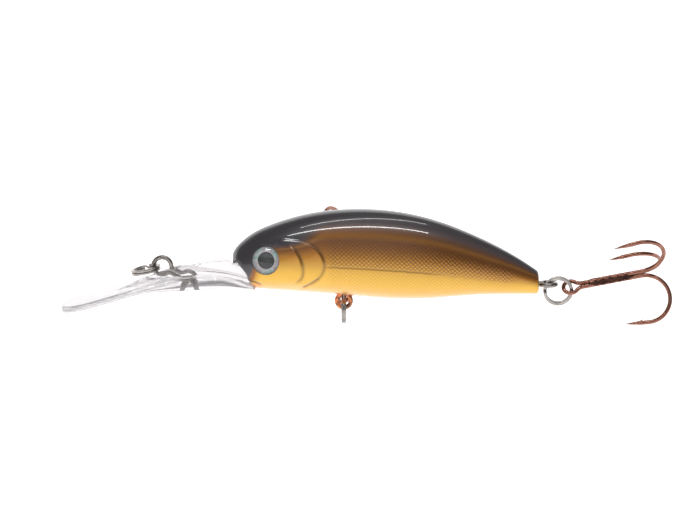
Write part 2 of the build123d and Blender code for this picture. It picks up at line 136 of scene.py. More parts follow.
def smooth_line(points, scale=MM):
    """A function through points: the natural cubic spline, with its second derivatives from a linear
    system."""
    x, y = np.array(points, float).T * scale
    gap = np.diff(x)
    inner = np.arange(1, len(x) - 1)
    system = np.eye(len(x))
    system[inner, inner] = 2 * (gap[:-1] + gap[1:])
    system[inner, inner - 1] = gap[:-1]
    system[inner, inner + 1] = gap[1:]
    bend = np.linalg.solve(system, np.concatenate([[0], 6 * np.diff(np.diff(y) / gap), [0]]))

    def at(q):
        q = np.clip(q, x[0], x[-1])
        k = np.clip(np.searchsorted(x, q) - 1, 0, len(gap) - 1)
        a, b = (x[k + 1] - q) / gap[k], (q - x[k]) / gap[k]
        curve = ((a**3 - a) * bend[k] + (b**3 - b) * bend[k + 1]) * gap[k] ** 2 / 6
        return a * y[k] + b * y[k + 1] + curve
    return at


def ease(value):
    """A smooth step from 0 to 1 as the value goes from 0 to 1."""
    value = np.clip(value, 0, 1)
    return value * value * (3 - 2 * value)


def unit(vectors):
    """Vectors brought to length 1."""
    vectors = np.asarray(vectors, float)
    return vectors / np.linalg.norm(vectors, axis=-1, keepdims=True)


def pivot(joint):
    """A joint's place in the frame."""
    return np.array(JOINTS[joint]["pos_m"], float)


def hinge_axis(joint):
    """A joint's axis in the frame."""
    return unit(JOINTS[joint]["axis"])


# ---- Meshes ----

def piece(name, vertices, faces, body, slot, replaced, materials):
    """A smooth-shaded mesh object that rides on a body and stands for CAD nodes."""
    mesh = bpy.data.meshes.new(name)
    mesh.from_pydata(np.asarray(vertices).tolist(), [], faces)
    work = bmesh.new()
    work.from_mesh(mesh)
    bmesh.ops.recalc_face_normals(work, faces=work.faces)
    work.to_mesh(mesh)
    work.free()
    mesh.shade_smooth()
    mesh.set_sharp_from_angle(angle=math.radians(40))
    for material in materials:
        mesh.materials.append(material)
    made = bpy.data.objects.new(name, mesh)
    bpy.context.scene.collection.objects.link(made)
    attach(made, body)
    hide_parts(*replaced)
    return made


def grid_faces(rows, columns, around=False, start=0):
    """Quads of a grid of vertices, row by row; around joins the last column to the first."""
    index = start + np.arange(rows * columns).reshape(rows, columns)
    beside = np.roll(index, -1, axis=1) if around else index[:, 1:]
    index = index if around else index[:, :-1]
    return np.stack([index[:-1], index[1:], beside[1:], beside[:-1]], axis=-1).reshape(-1, 4).tolist()


def skin(rings):
    """Vertices and faces of a closed surface through rings of points, each end drawn in to its middle."""
    count, sides, _ = rings.shape
    points = np.concatenate([rings.reshape(-1, 3), rings[:1].mean(axis=1), rings[-1:].mean(axis=1)])
    faces = grid_faces(count, sides, around=True)
    first = np.arange(sides)
    for ring, pole in ((first, count * sides), (first + (count - 1) * sides, count * sides + 1)):
        faces += np.stack([ring, np.roll(ring, -1), np.full(sides, pole)], axis=-1).tolist()
    return points, faces


def joined(parts):
    """Vertices and faces of several surfaces as one list each."""
    points, faces, start = [], [], 0
    for vertices, polygons in parts:
        points.append(vertices)
        faces += [[start + i for i in polygon] for polygon in polygons]
        start += len(vertices)
    return np.concatenate(points), faces


def carried(path, side, radius, sides=20):
    """A round section carried along a path: a ring is the path's point plus the radius times the cosine of
    the turn along the side vector, and its sine along the tangent crossed with the side vector."""
    tangent = unit(np.gradient(path, axis=0))
    side = np.broadcast_to(side, path.shape)
    side = unit(side - (side * tangent).sum(axis=1, keepdims=True) * tangent)
    other = np.cross(tangent, side)
    turn = np.linspace(0, 2 * np.pi, sides, endpoint=False)[None, :, None]
    radius = np.broadcast_to(radius, len(path))[:, None, None]
    return skin(path[:, None] + radius * (np.cos(turn) * side[:, None] + np.sin(turn) * other[:, None]))


def straight(start, end, count):
    """Evenly spaced points from one point up to, not including, another."""
    share = np.arange(count)[:, None] / count
    return np.asarray(start) * (1 - share) + np.asarray(end) * share


def arc(centre, radius, start, sweep, step=6.0):
    """Points round a circle in a plane, from a start angle through a sweep in degrees, without the last."""
    count = max(int(abs(sweep) / step), 3)
    angle = np.radians(start + sweep * np.arange(count) / count)
    return np.stack([centre[0] + radius * np.cos(angle), centre[1] + radius * np.sin(angle)], axis=1)


def eye_line(radius, half_gap, shoulder, leg):
    """A round eye in a plane: in along one leg, round the shoulder, the circle and the other shoulder, and
    out along the other leg. Its end wire is at the origin and its legs run along +x."""
    rise = half_gap + shoulder
    start = radius + math.sqrt((radius + shoulder) ** 2 - rise**2)
    meet = math.degrees(math.atan2(rise, start - radius))
    return np.concatenate([
        straight((leg, half_gap), (start, half_gap), 4),
        arc((start, rise), shoulder, -90, meet - 90),
        arc((radius, 0), radius, meet, 360 - 2 * meet),
        arc((start, -rise), shoulder, 180 - meet, meet - 90),
        straight((start, -half_gap), (leg, -half_gap), 4),
        [(leg, -half_gap)],
    ])


def placed(flat, origin, x_way, y_way):
    """Points of a plane put into space by an origin and two directions."""
    return origin + flat[:, :1] * x_way + flat[:, 1:] * y_way


def figure_eight(end_a, end_b, radius_a, radius_b, normal, settings):
    """One closed wire with an eye at each end: the first eye's line followed by the second one's."""
    along = unit(end_b - end_a)
    length = np.linalg.norm(end_b - end_a)
    leg = length * radius_a / (radius_a + radius_b)
    gap, shoulder = settings.strand_gap / 2, settings.eye_shoulder
    lines = (
        placed(eye_line(radius_a, gap, shoulder, leg), end_a, along, np.cross(normal, along)),
        placed(eye_line(radius_b, gap, shoulder, length - leg), end_b, -along, np.cross(normal, -along)),
    )
    path = np.concatenate([lines[0][:-1], lines[1][:-1]])
    tangent = unit(np.roll(path, -1, axis=0) - np.roll(path, 1, axis=0))
    other = np.cross(tangent, normal)
    turn = np.linspace(0, 2 * np.pi, 20, endpoint=False)[None, :, None]
    radius = settings.hanger_wire / 2
    rings = path[:, None] + radius * (np.cos(turn) * normal + np.sin(turn) * other[:, None])
    count, sides, _ = rings.shape
    faces = grid_faces(count + 1, sides, around=True)
    return rings.reshape(-1, 3), (np.array(faces) % (count * sides)).tolist()


# ---- Materials ----

def node(tree, kind, values=None, links=None, stops=(), **settings):
    """Adds a node, sets its properties, its inputs' values and its ramp's stops, and links its inputs."""
    made = tree.nodes.new(kind)
    for name, value in settings.items():
        setattr(made, name, value)
    for name, value in (values or {}).items():
        made.inputs[name].default_value = value
    for name, socket in (links or {}).items():
        tree.links.new(socket, made.inputs[name])
    if stops:
        elements = made.color_ramp.elements
        while len(elements) < len(stops):
            elements.new(0.5)
        for element, (place, colour) in zip(elements, stops):
            element.position = place
            element.color = colour
    return made


def new_material(name):
    """An empty material and the node tree to fill."""
    material = bpy.data.materials.new(name)
    material.use_nodes = True
    material.node_tree.nodes.clear()
    return material, material.node_tree


def show(tree, shader):
    """Joins a finished shader to the material's output."""
    node(tree, "ShaderNodeOutputMaterial", links={"Surface": shader.outputs["BSDF"]})


def opaque(colour):
    """A colour setting with full alpha."""
    return (*colour, 1.0)


def lacquered_abs(body):
    """Moulded ABS with metallic gold film on the flanks, sprayed back and belly, and clear lacquer over all:
    it gives deep gold that darkens upwards, a near-black back and long sharp highlights. Part of the gold's
    gradient is painted reflection of the bright floor and the darker room, put into the colour ramp."""
    material, tree = new_material("lacquered_metallic_abs")
    place = node(tree, "ShaderNodeTexCoord").outputs["Object"]
    level = node(tree, "ShaderNodeAttribute", attribute_name="paint_level").outputs["Fac"]
    share = node(tree, "ShaderNodeMapRange", {"From Min": -1, "From Max": 1}, {"Value": level}).outputs[0]
    # The ramp's colours are partly the paint's own and partly painted reflection with a painted highlight band
    layers = [(at, paint(code)) for at, code in FLANK_COLOURS]
    layers += [(SHOULDER_LEVEL, opaque(body.shoulder_colour)), (UPPER_BACK[0], paint(UPPER_BACK[1])),
               (BACK_LEVEL, opaque(body.back_colour)), (1.0, paint(SPINE_TONE))]
    colours = node(tree, "ShaderNodeValToRGB", links={"Fac": share},
                   stops=[((at + 1) / 2, colour) for at, colour in layers]).outputs["Color"]
    metal = node(tree, "ShaderNodeValToRGB", links={"Fac": share},
                 stops=[((at + 1) / 2, opaque([amount] * 3)) for at, amount in METAL_LEVELS]).outputs["Color"]

    # Scale edges: thin diamonds where either of two slanted waves is near zero
    rows = node(tree, "ShaderNodeUVMap", uv_map="scale_rows").outputs["UV"]
    cell = node(tree, "ShaderNodeSeparateXYZ", links={"Vector": rows})
    waves = []
    for operation in ("ADD", "SUBTRACT"):
        lean = node(tree, "ShaderNodeMath", links={0: cell.outputs["X"], 1: cell.outputs["Y"]},
                    operation=operation)
        turn = node(tree, "ShaderNodeMath", {1: math.pi}, {0: lean.outputs[0]}, operation="MULTIPLY")
        wave = node(tree, "ShaderNodeMath", links={0: turn.outputs[0]}, operation="SINE")
        waves.append(node(tree, "ShaderNodeMath", links={0: wave.outputs[0]}, operation="ABSOLUTE"))
    low = node(tree, "ShaderNodeMath", links={0: waves[0].outputs[0], 1: waves[1].outputs[0]},
               operation="MINIMUM")
    edge = node(tree, "ShaderNodeMapRange", {"From Min": 0.5, "From Max": 0.04}, {"Value": low.outputs[0]})
    strength = node(tree, "ShaderNodeAttribute", attribute_name="scale_strength").outputs["Fac"]
    net = node(tree, "ShaderNodeMath", links={0: edge.outputs[0], 1: strength}, operation="MULTIPLY")

    # Metal flakes 0.25 mm apart make the tone and the gloss uneven
    flakes = node(tree, "ShaderNodeTexNoise", {"Scale": 1 / (0.25 * MM), "Detail": 2.0}, {"Vector": place})
    flake = {"Value": flakes.outputs["Fac"]}
    sparkle = node(tree, "ShaderNodeMapRange", {"To Min": 0.9, "To Max": 1.1}, flake)
    gloss = node(tree, "ShaderNodeMapRange", {"To Min": 0.26, "To Max": 0.38}, flake)
    toned = node(tree, "ShaderNodeVectorMath", links={0: colours, 1: sparkle.outputs[0]},
                 operation="MULTIPLY")
    scaled = node(tree, "ShaderNodeMix", {"B": paint("#5a3410")},
                  {"Factor": net.outputs[0], "A": toned.outputs[0]}, data_type="RGBA")
    # Painted shade: grooves, creases and the shadows behind the head's plates are mixed towards dark brown
    painted_groove_shade = node(tree, "ShaderNodeAttribute", attribute_name="crease_and_shade").outputs["Fac"]
    groove_shaded = node(tree, "ShaderNodeMix", {"B": paint("#3b210c")},
                   {"Factor": painted_groove_shade, "A": scaled.outputs["Result"]}, data_type="RGBA")
    blush = node(tree, "ShaderNodeAttribute", attribute_name="blush").outputs["Fac"]
    final = node(tree, "ShaderNodeMix", {"B": opaque(body.belly_colour)},
                 {"Factor": blush, "A": groove_shaded.outputs["Result"]}, data_type="RGBA")
    show(tree, node(tree, "ShaderNodeBsdfPrincipled",
                    {"Coat Weight": 1.0, "Coat Roughness": 0.03, "Coat IOR": 1.5},
                    {"Base Color": final.outputs["Result"], "Metallic": metal, "Roughness": gloss.outputs[0]}))
    return material


def raw_abs():
    """Unpainted moulded ABS inside the shells: a slightly yellow white with a satin, faintly pebbled face."""
    material, tree = new_material("natural_moulded_abs")
    place = node(tree, "ShaderNodeTexCoord").outputs["Object"]
    noise = node(tree, "ShaderNodeTexNoise", {"Scale": 1 / (1.5 * MM), "Detail": 3.0}, {"Vector": place})
    pebble = noise.outputs["Fac"]
    colour = node(tree, "ShaderNodeValToRGB", links={"Fac": pebble},
                  stops=((0.3, paint("#dcd8cb")), (0.7, paint("#e6e2d7"))))
    bump = node(tree, "ShaderNodeBump", {"Strength": 0.2, "Distance": 0.02 * MM}, {"Height": pebble})
    show(tree, node(tree, "ShaderNodeBsdfPrincipled", {"Roughness": 0.45, "IOR": 1.53},
                    {"Base Color": colour.outputs["Color"], "Normal": bump.outputs[0]}))
    return material


def clear_plastic(name, ior, tint, haze, passed):
    """Clear plastic: light passes and bends, so steep faces look grey and the rest nearly vanishes; a slight
    haze and milkiness soften what is seen through it."""
    material, tree = new_material(name)
    place = node(tree, "ShaderNodeTexCoord").outputs["Object"]
    wave = node(tree, "ShaderNodeTexNoise", {"Scale": 1 / (6 * MM), "Detail": 1.0}, {"Vector": place})
    ripple = wave.outputs["Fac"]
    rough = node(tree, "ShaderNodeMapRange", {"To Min": 0.6 * haze, "To Max": 1.4 * haze}, {"Value": ripple})
    bump = node(tree, "ShaderNodeBump", {"Strength": 0.15, "Distance": 0.03 * MM}, {"Height": ripple})
    show(tree, node(tree, "ShaderNodeBsdfPrincipled",
                    {"Base Color": tint, "IOR": ior, "Transmission Weight": passed},
                    {"Roughness": rough.outputs[0], "Normal": bump.outputs[0]}))
    return material


def drawn_metal(name, dark, light, roughness, grain):
    """Drawn or ground metal: a bright sheen with slightly uneven plating and fine marks a grain apart."""
    material, tree = new_material(name)
    place = node(tree, "ShaderNodeTexCoord").outputs["Object"]
    cloud = node(tree, "ShaderNodeTexNoise", {"Scale": 1 / (1.4 * MM), "Detail": 3.0}, {"Vector": place})
    colour = node(tree, "ShaderNodeValToRGB", links={"Fac": cloud.outputs["Fac"]},
                  stops=((0.32, dark), (0.68, light)))
    noise = node(tree, "ShaderNodeTexNoise", {"Scale": 1 / grain, "Detail": 2.0}, {"Vector": place})
    marks = noise.outputs["Fac"]
    rough = node(tree, "ShaderNodeMapRange", {"To Min": roughness * 0.7, "To Max": roughness * 1.4},
                 {"Value": marks})
    bump = node(tree, "ShaderNodeBump", {"Strength": 0.08, "Distance": 0.01 * MM}, {"Height": marks})
    show(tree, node(tree, "ShaderNodeBsdfPrincipled", {"Metallic": 1.0},
                    {"Base Color": colour.outputs["Color"], "Roughness": rough.outputs[0],
                     "Normal": bump.outputs[0]}))
    return material


def oversprayed_wire(colour):
    """Steel wire that caught the belly's paint: orange lacquer that thins to bare metal in spots."""
    material, tree = new_material("oversprayed_steel_wire")
    place = node(tree, "ShaderNodeTexCoord").outputs["Object"]
    cloud = node(tree, "ShaderNodeTexNoise", {"Scale": 1 / (0.7 * MM), "Detail": 3.0}, {"Vector": place})
    spots = node(tree, "ShaderNodeMapRange", {"From Min": 0.42, "From Max": 0.58},
                 {"Value": cloud.outputs["Fac"]})
    cover = spots.outputs[0]
    tone = node(tree, "ShaderNodeMix", {"A": paint("#6b4a34"), "B": opaque(colour)}, {"Factor": cover},
                data_type="RGBA")
    metal = node(tree, "ShaderNodeMapRange", {"To Min": 0.9, "To Max": 0.1}, {"Value": cover})
    show(tree, node(tree, "ShaderNodeBsdfPrincipled",
                    {"Roughness": 0.3, "Coat Weight": 0.5, "Coat Roughness": 0.08},
                    {"Base Color": tone.outputs["Result"], "Metallic": metal.outputs[0]}))
    return material


def printed_foil(eye):
    """Pearl foil with a printed pupil: a bright ring with a faint green and pink play round a black disc. The
    slight glow stands for the light that the pearl gathers under its dome."""
    material, tree = new_material("printed_pearl_foil")
    place = node(tree, "ShaderNodeTexCoord").outputs["Object"]
    ring = node(tree, "ShaderNodeAttribute", attribute_name="ring").outputs["Fac"]
    pupil = eye.pupil / eye.diameter
    colour = node(tree, "ShaderNodeValToRGB", links={"Fac": ring}, stops=(
        (0.0, paint("#0b0b0c")), (pupil - 0.02, paint("#121113")), (pupil + 0.02, paint("#eef2f2")),
        (pupil + 0.09, paint("#e3e9ea")), (0.78, opaque(eye.ring_colour)), (0.92, paint("#aab4b6")),
        (0.96, paint("#3a3230")), (1.0, paint("#2a2424")),
    ))
    play = node(tree, "ShaderNodeTexNoise", {"Scale": 1 / (1.2 * MM), "Detail": 1.0}, {"Vector": place})
    hue = node(tree, "ShaderNodeValToRGB", links={"Fac": play.outputs["Fac"]},
               stops=((0.35, paint("#d6f2ea")), (0.5, paint("#ffffff")), (0.65, paint("#f6dfe8"))))
    tinted = node(tree, "ShaderNodeVectorMath", links={0: colour.outputs["Color"], 1: hue.outputs["Color"]},
                  operation="MULTIPLY").outputs[0]
    show(tree, node(tree, "ShaderNodeBsdfPrincipled", {"Roughness": 0.3, "Emission Strength": 0.12},
                    {"Base Color": tinted, "Emission Color": tinted}))
    return material


def opal_acrylic():
    """Backlit white acrylic sheet with a faint cloudiness: it stays white behind the lure and lights it from
    below."""
    material, tree = new_material("backlit_opal_acrylic")
    place = node(tree, "ShaderNodeTexCoord").outputs["Object"]
    cloud = node(tree, "ShaderNodeTexNoise", {"Scale": 8.0, "Detail": 3.0}, {"Vector": place})
    colour = node(tree, "ShaderNodeValToRGB", links={"Fac": cloud.outputs["Fac"]},
                  stops=((0.3, paint("#fbfbfb")), (0.7, paint("#ffffff")))).outputs["Color"]
    show(tree, node(tree, "ShaderNodeBsdfPrincipled", {"Roughness": 0.6, "Emission Strength": 0.7},
                    {"Base Color": colour, "Emission Color": colour}))
    return material


# ---- Body shells ----

def body_lines():
    """Functions of the share of the body length that give the back, the belly and the half width. Each is a
    spline over the square root of the share, which spreads out the quick rise behind the nose."""
    rows = np.array(STATIONS)
    root = np.sqrt(rows[:, 0])
    sizes = (BACK_HEIGHT, -BELLY_DEPTH, HALF_WIDTH)
    lines = [smooth_line(np.stack([root, rows[:, k + 1] * size], axis=1), 1) for k, size in enumerate(sizes)]
    return [lambda share, line=line: line(np.sqrt(np.clip(share, 0, 1))) for line in lines]


def section(x, turn, inset, lines):
    """Half breadth and height on the body's section at x: upper and lower half ellipses that meet at the
    widest level, with the turn measured from the middle of the back."""
    share = (x - NOSE_X) / BODY_LENGTH
    back, belly, half = (line(share) for line in lines)
    middle = belly + WIDEST_LEVEL * (back - belly)
    reach = np.where(turn < np.pi / 2, back - middle, middle - belly) - inset
    return (half - inset) * np.sin(turn), middle + reach * np.cos(turn)


def outer_form(lines):
    """The outer face of a half body: a grid over the distance behind the slanted face and the turn round
    the section. Its breadth closes at the face by a rounded power law, and its sections shrink round the
    tail's edge. The slant is found by repeating: x is the distance behind plus the face's slant at the
    height there."""
    turn = np.interp(np.linspace(0, 1, SHELL_COLUMNS), [0, 0.15, 0.71, 1], [0, 45, 94, 180])
    turn = np.radians(turn)[None, :]
    quarter = np.arange(NOSE_ROWS) / NOSE_ROWS * np.pi / 2
    tail_turn = np.linspace(0, np.pi / 2, TAIL_ROWS)
    tail_start = BODY_LENGTH - TAIL_ROUND
    behind = np.concatenate([
        NOSE_ROUND * (1 - np.cos(quarter)),
        np.linspace(NOSE_ROUND, tail_start, FLANK_ROWS, endpoint=False),
        tail_start + TAIL_ROUND * np.sin(tail_turn),
        [BODY_LENGTH],
    ])[:, None]
    inset = np.zeros_like(behind)
    inset[-TAIL_ROWS - 1:-1, 0] = TAIL_ROUND * (1 - np.cos(tail_turn))
    inset[-1] = TAIL_ROUND

    face = smooth_line(FACE_LINE)
    follow = np.clip(1 - behind / (SLANT_SHARE * BODY_LENGTH), 0, 1) ** 2
    x = NOSE_X + behind + 0 * turn
    for _ in range(8):
        _, z = section(x, turn, inset, lines)
        x = NOSE_X + behind + follow * face(z)
    breadth, z = section(x, turn, inset, lines)
    closing = (1 - np.clip(1 - behind / NOSE_ROUND, 0, 1) ** NOSE_POWER) ** (1 / NOSE_POWER)
    closing[-1] = 0
    return np.stack([x, breadth * closing, z], axis=-1), turn


def inner_form(rows, turn, side, wall, lines):
    """The inner face: the sections drawn in by the wall, closing in a blunt power law at both ends."""
    share = np.linspace(0, 1, rows)[:, None]
    x = NOSE_X + BODY_LENGTH * (0.07 + 0.88 * share) + 0 * turn
    breadth, z = section(x, turn, wall, lines)
    ends = np.sqrt(np.clip(1 - (2 * share - 1) ** 16, 0, 1))
    return np.stack([x, side * breadth * ends, z], axis=-1)


def edge_step(x, z, edge, height):
    """Relief of a plate whose rear edge is a curve over the height: it rises towards the edge over a few
    millimetres, then drops in a short step. Also how deep in the step's shadow a point is."""
    low, high = edge[0][0] * MM, edge[-1][0] * MM
    curve = smooth_line(edge)
    near = 0.1 * MM
    slope = (curve(z + near) - curve(z - near)) / (2 * near)
    ahead = (curve(z) - x) / np.sqrt(1 + slope**2)
    window = ease((z - low) / PLATE_FADE) * ease((high - z) / PLATE_FADE)
    rise = np.exp(-np.clip(ahead, 0, None) / PLATE_RISE) * ease(0.5 + ahead / PLATE_STEP)
    shadow = np.exp(-((ahead + SHADOW_BEHIND) / SHADOW_WIDTH) ** 2)
    return height * rise * window, shadow * window


def crease_and_shade(x, z, ends):
    """Depth of a short groove: a bell over the distance from a straight line, fading out at its ends. The same
    value also weights the painted shade in the groove.
    """
    start, end = (np.array(point) * MM for point in ends)
    along = unit(end - start)
    length = np.linalg.norm(end - start)
    run = (x - start[0]) * along[0] + (z - start[1]) * along[1]
    off = (x - start[0]) * along[1] - (z - start[1]) * along[0]
    fade = ease(run / CREASE_FADE) * ease((length - run) / CREASE_FADE)
    return np.exp(-(off / CREASE_WIDTH) ** 2) * fade


def moulded_detail(outer, level, around, body):
    """Height that the moulding adds along the surface's normal, the painted shade in its grooves and creases
    and the painted shadow behind the plates' steps, how strong the scales are, and the scale rows. The scales
    are
    a net of diamonds: the lower of two waves slanted either way."""
    x, z = outer[..., 0], outer[..., 2]
    behind_gill = ease((x - SCALES_START) / SCALES_FADE_IN)
    scales = behind_gill * ease((TAIL_X - 2.5 * MM - x) / SCALES_FADE_OUT)
    scales = np.where(around > 0, scales * (1 - ease((level - 0.35) / 0.4)), scales * 0.3 * ease(1.4 + level))
    cell = x / body.scale_length, around / body.scale_height
    lattice = np.minimum(*(np.abs(np.sin(np.pi * lean)) for lean in (cell[0] + cell[1], cell[0] - cell[1])))
    relief = body.scale_relief * scales * np.clip(lattice / 0.6, 0, 1)
    groove = np.exp(-(around / LINE_WIDTH) ** 2) * behind_gill * ease((LINE_END - x) / LINE_FADE)
    relief -= LINE_DEPTH * groove
    # dark is painted shade: in the lateral line's groove, as painted shadow behind each plate's step, and in
    # the creases
    dark = 0.4 * groove
    for edge in (CHEEK_EDGE, GILL_EDGE):
        rise, shadow = edge_step(x, z, edge, body.gill_relief)
        relief += rise
        dark = np.maximum(dark, 0.55 * shadow)
    for ends in CREASES:
        depth = crease_and_shade(x, z, ends)
        relief -= CREASE_DEPTH * depth
        dark = np.maximum(dark, 0.8 * depth)
    return relief, dark, scales, cell


def raised(outer, relief):
    """Points moved out along the surface's normals by the relief, which fades out at the middle plane."""
    normal = unit(np.cross(np.gradient(outer, axis=0), np.gradient(outer, axis=1)) + 1e-15)
    normal *= np.sign((normal * (outer - [0, 0, 2 * MM])).sum(axis=-1, keepdims=True) + 1e-12)
    away = ease(outer[..., 1] / (0.6 * MM))
    return outer + normal * (relief * away)[..., None]


def sunk_seat(points, eye, side):
    """Points of the flank with a round flat-bottomed seat: points near its rim are drawn onto the rim's
    circle, and those inside it are dropped to the floor and spread out to the rim."""
    centre, outward = eye_place(side, eye)
    radius = eye.diameter / 2 + SEAT_CLEARANCE
    outside = radius + 3 * SEAT_BAND
    offset = points - centre
    depth = offset @ outward
    flat = offset - depth[..., None] * outward
    reach = np.linalg.norm(flat, axis=-1)
    near = (depth > -2 * MM) & (reach < outside)
    moved = np.interp(reach, [0, radius - SEAT_BAND, radius + SEAT_BAND, outside], [0, radius, radius, outside])
    floor = np.where(reach < radius - SEAT_BAND, -eye.foil / 2, depth)
    sunk = centre + flat * (moved / np.maximum(reach, 1e-9))[..., None] + floor[..., None] * outward
    return np.where(near[..., None], sunk, points)


def sprayed_marks(x, z, level):
    """The paint level with the dark snout and crown added, and how far the belly's colour covers."""
    snout = ease((18.4 * MM - x) / (4 * MM)) * ease((z + 3.1 * MM) / (1.6 * MM))
    crown = ease((29 * MM - x) / (9 * MM)) * ease((z - 2.6 * MM) / (3.4 * MM))
    level = np.clip(level + 1.6 * snout + 0.6 * crown, -1, 1)
    throat = ease((19 * MM - x) / (3.5 * MM)) * ease((-2.2 * MM - z) / (1.0 * MM))
    return level, np.clip(ease((-0.86 - level) / 0.13) + 0.9 * throat, 0, 1)


def half_shell(side, settings):
    """One half of the body as a closed hollow shell: the outer face with its moulded detail and its eye seat,
    the inner face, and strips that join their edges at y = 0. The paint level runs from -1 at the belly by 0
    at the lateral line to 1 at the back."""
    body, lines = settings.body, body_lines()
    outer, turn = outer_form(lines)
    x, z = outer[..., 0], outer[..., 2]
    steps = np.linalg.norm(np.diff(outer, axis=1), axis=-1)
    down = np.concatenate([np.zeros((len(x), 1)), np.cumsum(steps, axis=1)], axis=1)
    line = smooth_line(LATERAL_LINE)(x)
    crossing = np.abs(z - line).argmin(axis=1)
    around = down[np.arange(len(x)), crossing][:, None] - down
    back, belly = (edge((x - NOSE_X) / BODY_LENGTH) for edge in lines[:2])
    level = np.where(z > line, (z - line) / (back - line), (z - line) / (line - belly))
    relief, dark, scales, cell = moulded_detail(outer, level, around, body)
    level, blush = sprayed_marks(x, z, level)
    # The shade mark is painted shade of the grooves and creases and painted shadow behind the plates' steps
    marks = {"paint_level": level, "scale_strength": 0.8 * scales, "crease_and_shade": dark, "blush": blush}
    outer = sunk_seat(raised(outer, relief) * [1, side, 1], settings.eye, side)
    inner = inner_form(len(x), turn, side, body.wall, lines)

    rows, columns = x.shape
    count = rows * columns
    faces = grid_faces(rows, columns) + grid_faces(rows, columns, start=count)
    index = np.arange(2 * count).reshape(2, rows, columns)
    for rim in (index[:, :, 0], index[:, :, -1], index[:, 0], index[:, -1]):
        faces += np.stack([rim[0, :-1], rim[0, 1:], rim[1, 1:], rim[1, :-1]], axis=-1).tolist()
    points = np.concatenate([outer.reshape(-1, 3), inner.reshape(-1, 3)])
    return points, faces, marks, cell


def add_marks(mesh, marks, rows_map):
    """Writes one value for each vertex of each mark, the scale rows as a UV map, and the two finishes:
    paint on the outer face's polygons, which come first, and bare plastic on the rest."""
    count = len(mesh.vertices)
    for name, values in marks.items():
        full = np.zeros(count, np.float32)
        full[:values.size] = values.ravel()
        mesh.attributes.new(name, "FLOAT", "POINT").data.foreach_set("value", full)
    corners = np.zeros(len(mesh.loops), np.int32)
    mesh.loops.foreach_get("vertex_index", corners)
    rows, columns = rows_map[0].shape
    places = np.zeros((count, 2), np.float32)
    places[:rows * columns] = np.stack([part.ravel() for part in rows_map], axis=1)
    mesh.uv_layers.new(name="scale_rows").uv.foreach_set("vector", places[corners].ravel())
    finish = np.ones(len(mesh.polygons), np.int32)
    finish[:(rows - 1) * (columns - 1)] = 0
    mesh.polygons.foreach_set("material_index", finish)


# ---- Eyes ----

def eye_place(side, eye):
    """Middle of an eye's foil, from its CAD node, and the way the eye faces."""
    name = "left" if side < 0 else "right"
    low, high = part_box(f"{name}_eye_foil")
    yaw, pitch = eye.yaw, eye.pitch
    outward = (-math.sin(yaw) * math.cos(pitch), side * math.cos(yaw) * math.cos(pitch), math.sin(pitch))
    return np.array((low + high) / 2), np.array(outward)


def turned(profile, centre, axis, sides=96):
    """A profile of radius and height turned round an axis: each of its points becomes a ring."""
    radial = unit(np.cross(axis, (1.0, 0.0, 0.0)))
    other = np.cross(axis, radial)
    turn = np.linspace(0, 2 * np.pi, sides, endpoint=False)[None, :, None]
    profile = np.asarray(profile)
    rings = profile[:, :1, None] * (np.cos(turn) * radial + np.sin(turn) * other)
    return skin(centre + rings + profile[:, 1:, None] * axis)


def foil_profile(eye):
    """A thin disc with a slightly raised ring round the pupil."""
    edge, half, pupil = eye.diameter / 2, eye.foil / 2, eye.pupil / 2
    reach = np.concatenate([np.linspace(0.02, 1, 40) * pupil, np.linspace(pupil, edge - 0.05 * MM, 24)[1:]])
    rise = half + 0.04 * MM * ease((reach - pupil + 0.08 * MM) / (0.16 * MM)) - 0.04 * MM
    top = np.stack([reach, rise], axis=1)
    corner = 0.05 * MM
    rim = [(edge, half - 0.08 * MM), (edge, corner - half), (edge - corner, -half), (0.02 * edge, -half)]
    return np.concatenate([top, rim])


def dome_profile(eye):
    """A short upright edge under a round cap, which is part of a sphere through the edge and the crown."""
    radius, base = eye.diameter / 2, eye.foil / 2
    sphere = (radius**2 + eye.dome_rise**2) / (2 * eye.dome_rise)
    spread = math.asin(radius / sphere)
    turn = np.linspace(spread, 0.01 * spread, 28)
    crown = base + eye.dome_edge + eye.dome_rise
    cap = np.stack([sphere * np.sin(turn), crown - sphere * (1 - np.cos(turn))], axis=1)
    corner = 0.04 * MM
    return np.concatenate([[(0.02 * radius, base), (radius - corner, base), (radius, base + corner)], cap])


# ---- Diving lip ----

# The lip's front end, its rear end inside the head, and how far back its round tip reaches
LIP_TIP_X, LIP_END_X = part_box("diving_lip")[0].x, 16.6 * MM
LIP_TIP_ROUND, SPINE_HALF_WIDTH, SPINE_FOOT, SPINE_WALL = 5.4 * MM, 1.45 * MM, 1.62 * MM, 0.5 * MM
# Lines of x and height for the upper and lower faces and the spine, and of x and half width for the sides
LIP_TOP = ((-18.1, -7.0), (-13, -5.54), (-8, -4.1), (-3.5, -2.81), (0.5, -1.9), (4.5, -1.4), (8.5, -1.27),
           (12.5, -1.85), (16.6, -3.2))
LIP_FLOOR = ((-18.1, -8.14), (-13, -6.68), (-8, -5.25), (-4.5, -4.28), (-1.5, -3.86), (2, -3.75), (9, -3.75),
             (16.6, -3.78))
LIP_FLANK = ((-18.1, 6.0), (-12.7, 6.0), (-8, 5.93), (-3, 5.58), (2, 5.05), (6, 4.4), (11, 3.5), (16.6, 2.7))
SPINE_EDGE = ((-18.1, -8.2), (-9.5, -4.65), (-8, -4.05), (-4.5, -2.55), (-1.7, -1.4), (0, -0.8), (2.1, -0.1),
              (5.8, 0.7), (9.6, 1.15), (12.2, 0.95), (13.5, 0.5), (16.6, 0.1))


